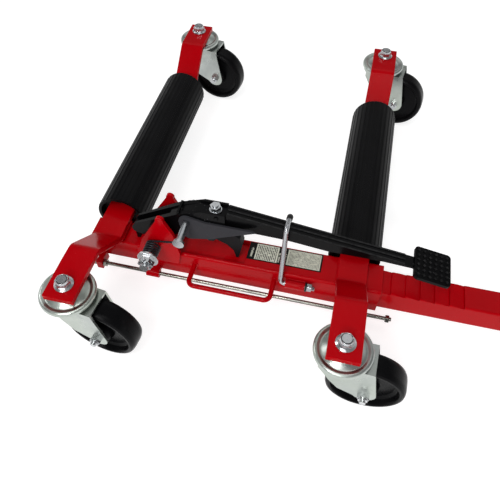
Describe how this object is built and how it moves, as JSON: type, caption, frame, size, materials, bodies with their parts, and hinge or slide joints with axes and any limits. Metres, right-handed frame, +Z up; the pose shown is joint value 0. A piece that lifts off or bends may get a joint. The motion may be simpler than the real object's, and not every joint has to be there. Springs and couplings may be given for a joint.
{
  "type": "wheel dolly",
  "caption": "Low rolling dolly for one car wheel: two roller arms on swivel casters, joined by a telescoping ratchet tube with a foot pedal.",
  "frame": {"origin": "on the floor under the middle of the dolly's bounding box", "axes": "+X along the beam towards the foot pedal, +Y along the rollers away from the beam, +Z up"},
  "size_m": [0.6355, 0.6548, 0.1695],
  "materials": {
    "red_paint": "glossy red powder coat",
    "black_paint": "gloss black powder coat",
    "pawl_grey": "dark grey phosphated steel, matt",
    "spring_steel": "black oiled spring steel",
    "zinc_plate": "bright zinc plating",
    "chrome_rod": "bright plated",
    "roller_black": "satin black with fine lengthwise ribs",
    "bearing_plastic": "matt black nylon",
    "label": "satin film",
    "wheel_black": "satin black, moulded"
  },
  "bodies": {
    "frame": {"outer_tube": "red_paint", "fixed_arm": "red_paint", "front_lug": "red_paint", "rear_lug": "red_paint", "rod_guide": "red_paint", "carry_handle": "red_paint", "latch_bush": "red_paint", "rating_label": "label", "pivot_pin": "zinc_plate", "pivot_washer": "zinc_plate", "pivot_nut": "zinc_plate", "cotter_pin": "zinc_plate", "fixed_roller_bearings": "bearing_plastic", "fixed_arm_caster_bolts": "zinc_plate", "fixed_arm_caster_nuts": "zinc_plate", "race_front_right": "zinc_plate", "race_rear_right": "zinc_plate"},
    "carriage": {"ratchet_tube": "red_paint", "sliding_arm": "red_paint", "arm_saddle": "red_paint", "tube_end_cap": "bearing_plastic", "rod_lug": "red_paint", "travel_rod": "zinc_plate", "rod_nuts": "zinc_plate", "sliding_roller_bearings": "bearing_plastic", "sliding_arm_caster_bolts": "zinc_plate", "sliding_arm_caster_nuts": "zinc_plate", "race_front_left": "zinc_plate", "race_rear_left": "zinc_plate"},
    "pedal": {"pedal_yoke": "black_paint", "pedal_arm": "black_paint", "pedal_pad": "black_paint", "pedal_bolt": "zinc_plate", "pedal_nut": "zinc_plate", "clevis_pin": "zinc_plate", "clevis_clip": "zinc_plate", "return_spring": "spring_steel"},
    "drive_pawl": {"drive_pawl": "pawl_grey"},
    "holding_pawl": {"holding_pawl": "black_paint"},
    "latch": {"pedal_latch": "chrome_rod", "latch_nut": "zinc_plate"},
    "fixed_roller": {"fixed_roller": "roller_black"},
    "sliding_roller": {"sliding_roller": "roller_black"},
    "caster_front_left": {"fork_front_left": "zinc_plate", "axle_front_left": "zinc_plate"},
    "wheel_front_left": {"wheel_front_left": "wheel_black", "bushing_front_left": "zinc_plate"},
    "caster_rear_left": {"fork_rear_left": "zinc_plate", "axle_rear_left": "zinc_plate"},
    "wheel_rear_left": {"wheel_rear_left": "wheel_black", "bushing_rear_left": "zinc_plate"},
    "caster_front_right": {"fork_front_right": "zinc_plate", "axle_front_right": "zinc_plate"},
    "wheel_front_right": {"wheel_front_right": "wheel_black", "bushing_front_right": "zinc_plate"},
    "caster_rear_right": {"fork_rear_right": "zinc_plate", "axle_rear_right": "zinc_plate"},
    "wheel_rear_right": {"wheel_rear_right": "wheel_black", "bushing_rear_right": "zinc_plate"}
  },
  "joints": [
    {"name": "arm_slide", "type": "slide", "parent": "frame", "child": "carriage", "axis": [1, 0, 0], "range_m": [-0.325, 0.007]},
    {"name": "fixed_roller_spin", "type": "hinge", "parent": "frame", "child": "fixed_roller", "pos_m": [0.0645, 0.028, 0.074], "axis": [0, 1, 0], "continuous": true},
    {"name": "sliding_roller_spin", "type": "hinge", "parent": "carriage", "child": "sliding_roller", "pos_m": [-0.2815, 0.028, 0.074], "axis": [0, 1, 0], "continuous": true},
    {"name": "pedal_press", "type": "hinge", "parent": "frame", "child": "pedal", "pos_m": [-0.2065, -0.156, 0.1], "axis": [0, 1, 0], "range_deg": [0, 5.5], "stiffness_Nm_per_rad": 1.5, "springref_deg": -68.75},
    {"name": "drive_pawl_swing", "type": "hinge", "parent": "pedal", "child": "drive_pawl", "pos_m": [-0.161, -0.156, 0.141], "axis": [0, 1, 0], "range_deg": [-9.5, 0]},
    {"name": "holding_pawl_lift", "type": "hinge", "parent": "frame", "child": "holding_pawl", "pos_m": [-0.2065, -0.156, 0.1], "axis": [0, 1, 0], "range_deg": [0, 20]},
    {"name": "latch_swing", "type": "hinge", "parent": "frame", "child": "latch", "pos_m": [-0.0075, -0.1865, 0.068], "axis": [1, 0, 0], "range_deg": [0, 100]},
    {"name": "front_left_swivel", "type": "hinge", "parent": "carriage", "child": "caster_front_left", "pos_m": [-0.2815, -0.291, 0.11], "axis": [0, 0, 1], "continuous": true},
    {"name": "front_left_wheel_spin", "type": "hinge", "parent": "caster_front_left", "child": "wheel_front_left", "pos_m": [-0.24478, -0.29551, 0.05], "axis": [0.1219, 0.9925, 0], "continuous": true},
    {"name": "rear_left_swivel", "type": "hinge", "parent": "carriage", "child": "caster_rear_left", "pos_m": [-0.2815, 0.291, 0.11], "axis": [0, 0, 1], "continuous": true},
    {"name": "rear_left_wheel_spin", "type": "hinge", "parent": "caster_rear_left", "child": "wheel_rear_left", "pos_m": [-0.24496, 0.28521, 0.05], "axis": [0.1564, 0.9877, 0], "continuous": true},
    {"name": "front_right_swivel", "type": "hinge", "parent": "frame", "child": "caster_front_right", "pos_m": [0.0645, -0.291, 0.11], "axis": [0, 0, 1], "continuous": true},
    {"name": "front_right_wheel_spin", "type": "hinge", "parent": "caster_front_right", "child": "wheel_front_right", "pos_m": [0.10148, -0.29229, 0.05], "axis": [0.0349, 0.9994, 0], "continuous": true},
    {"name": "rear_right_swivel", "type": "hinge", "parent": "frame", "child": "caster_rear_right", "pos_m": [0.0645, 0.291, 0.11], "axis": [0, 0, 1], "continuous": true},
    {"name": "rear_right_wheel_spin", "type": "hinge", "parent": "caster_rear_right", "child": "wheel_rear_right", "pos_m": [0.10114, 0.28585, 0.05], "axis": [0.1392, 0.9903, 0], "continuous": true}
  ],
  "couplings": [
    {"joint": "drive_pawl_swing", "follows": "pedal_press", "ratio": -1.675}
  ]
}
